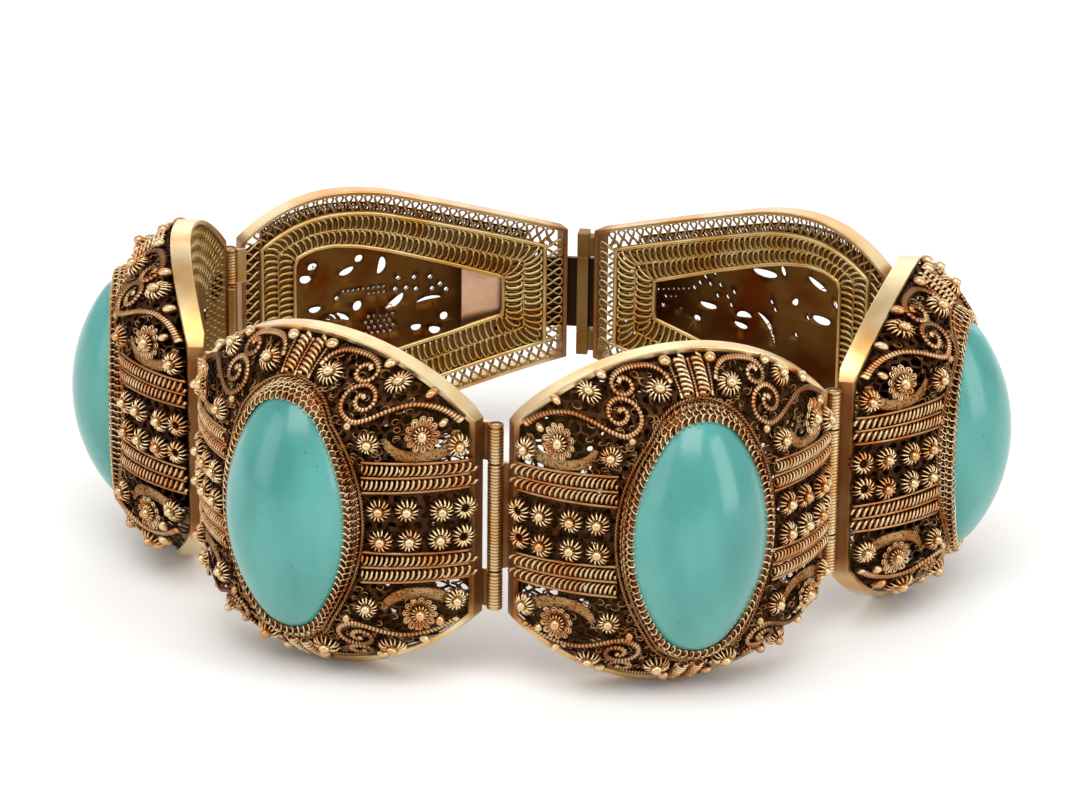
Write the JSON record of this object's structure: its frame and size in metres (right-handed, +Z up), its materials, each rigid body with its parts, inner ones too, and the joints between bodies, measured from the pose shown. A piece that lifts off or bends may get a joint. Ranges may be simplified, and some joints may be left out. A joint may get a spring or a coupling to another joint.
{
  "type": "filigree link bracelet",
  "caption": "Hinged filigree bracelet of domed oval-cabochon links and two tapering openwork back panels with a box clasp, shown closed and standing.",
  "frame": {"origin": "on the table under the middle of the closed loop, level with the lowest points of the link rims", "axes": "+Z up along the wrist axis, -Y toward the hinge between the two front links, +X to the right as seen from the front"},
  "size_m": [0.0844, 0.0679, 0.0298],
  "materials": {
    "gilt_filigree": "gilt wire with dark oxidised recesses",
    "back_gilt": "gilt wire, duller inside",
    "turquoise": "polished opaque turquoise stone"
  },
  "bodies": {
    "link_front_right": {"link_front_right": "gilt_filigree", "stone_front_right": "turquoise", "hinge_pin_right": "gilt_filigree"},
    "link_front_left": {"link_front_left": "gilt_filigree", "stone_front_left": "turquoise", "hinge_pin_front": "gilt_filigree"},
    "link_far_left": {"link_far_left": "gilt_filigree", "stone_far_left": "turquoise", "hinge_pin_left": "gilt_filigree"},
    "back_left": {"back_panel_left": "back_gilt", "clasp_tongue": "back_gilt", "hinge_pin_rear_left": "gilt_filigree"},
    "link_far_right": {"link_far_right": "gilt_filigree", "stone_far_right": "turquoise", "hinge_pin_rear_right": "gilt_filigree"},
    "back_right": {"back_panel_right": "back_gilt"}
  },
  "joints": [
    {"name": "front_hinge", "type": "hinge", "parent": "link_front_right", "child": "link_front_left", "pos_m": [0, -0.0282, 0.0149], "axis": [0, 0, 1], "range_deg": [0, 50]},
    {"name": "left_hinge", "type": "hinge", "parent": "link_front_left", "child": "link_far_left", "pos_m": [-0.02719, -0.01552, 0.0149], "axis": [0, 0, 1], "range_deg": [0, 58.5]},
    {"name": "rear_left_hinge", "type": "hinge", "parent": "link_far_left", "child": "back_left", "pos_m": [-0.03085, 0.01426, 0.0149], "axis": [0, 0, 1], "range_deg": [0, 68.5]},
    {"name": "right_hinge", "type": "hinge", "parent": "link_front_right", "child": "link_far_right", "pos_m": [0.02719, -0.01552, 0.0149], "axis": [0, 0, -1], "range_deg": [0, 58.5]},
    {"name": "rear_right_hinge", "type": "hinge", "parent": "link_far_right", "child": "back_right", "pos_m": [0.03085, 0.01426, 0.0149], "axis": [0, 0, -1], "range_deg": [0, 68.5]}
  ],
  "couplings": [
    {"joint": "left_hinge", "follows": "front_hinge", "ratio": 1.16},
    {"joint": "rear_left_hinge", "follows": "front_hinge", "ratio": 1.36},
    {"joint": "right_hinge", "follows": "front_hinge", "ratio": 1.16},
    {"joint": "rear_right_hinge", "follows": "front_hinge", "ratio": 1.36}
  ]
}
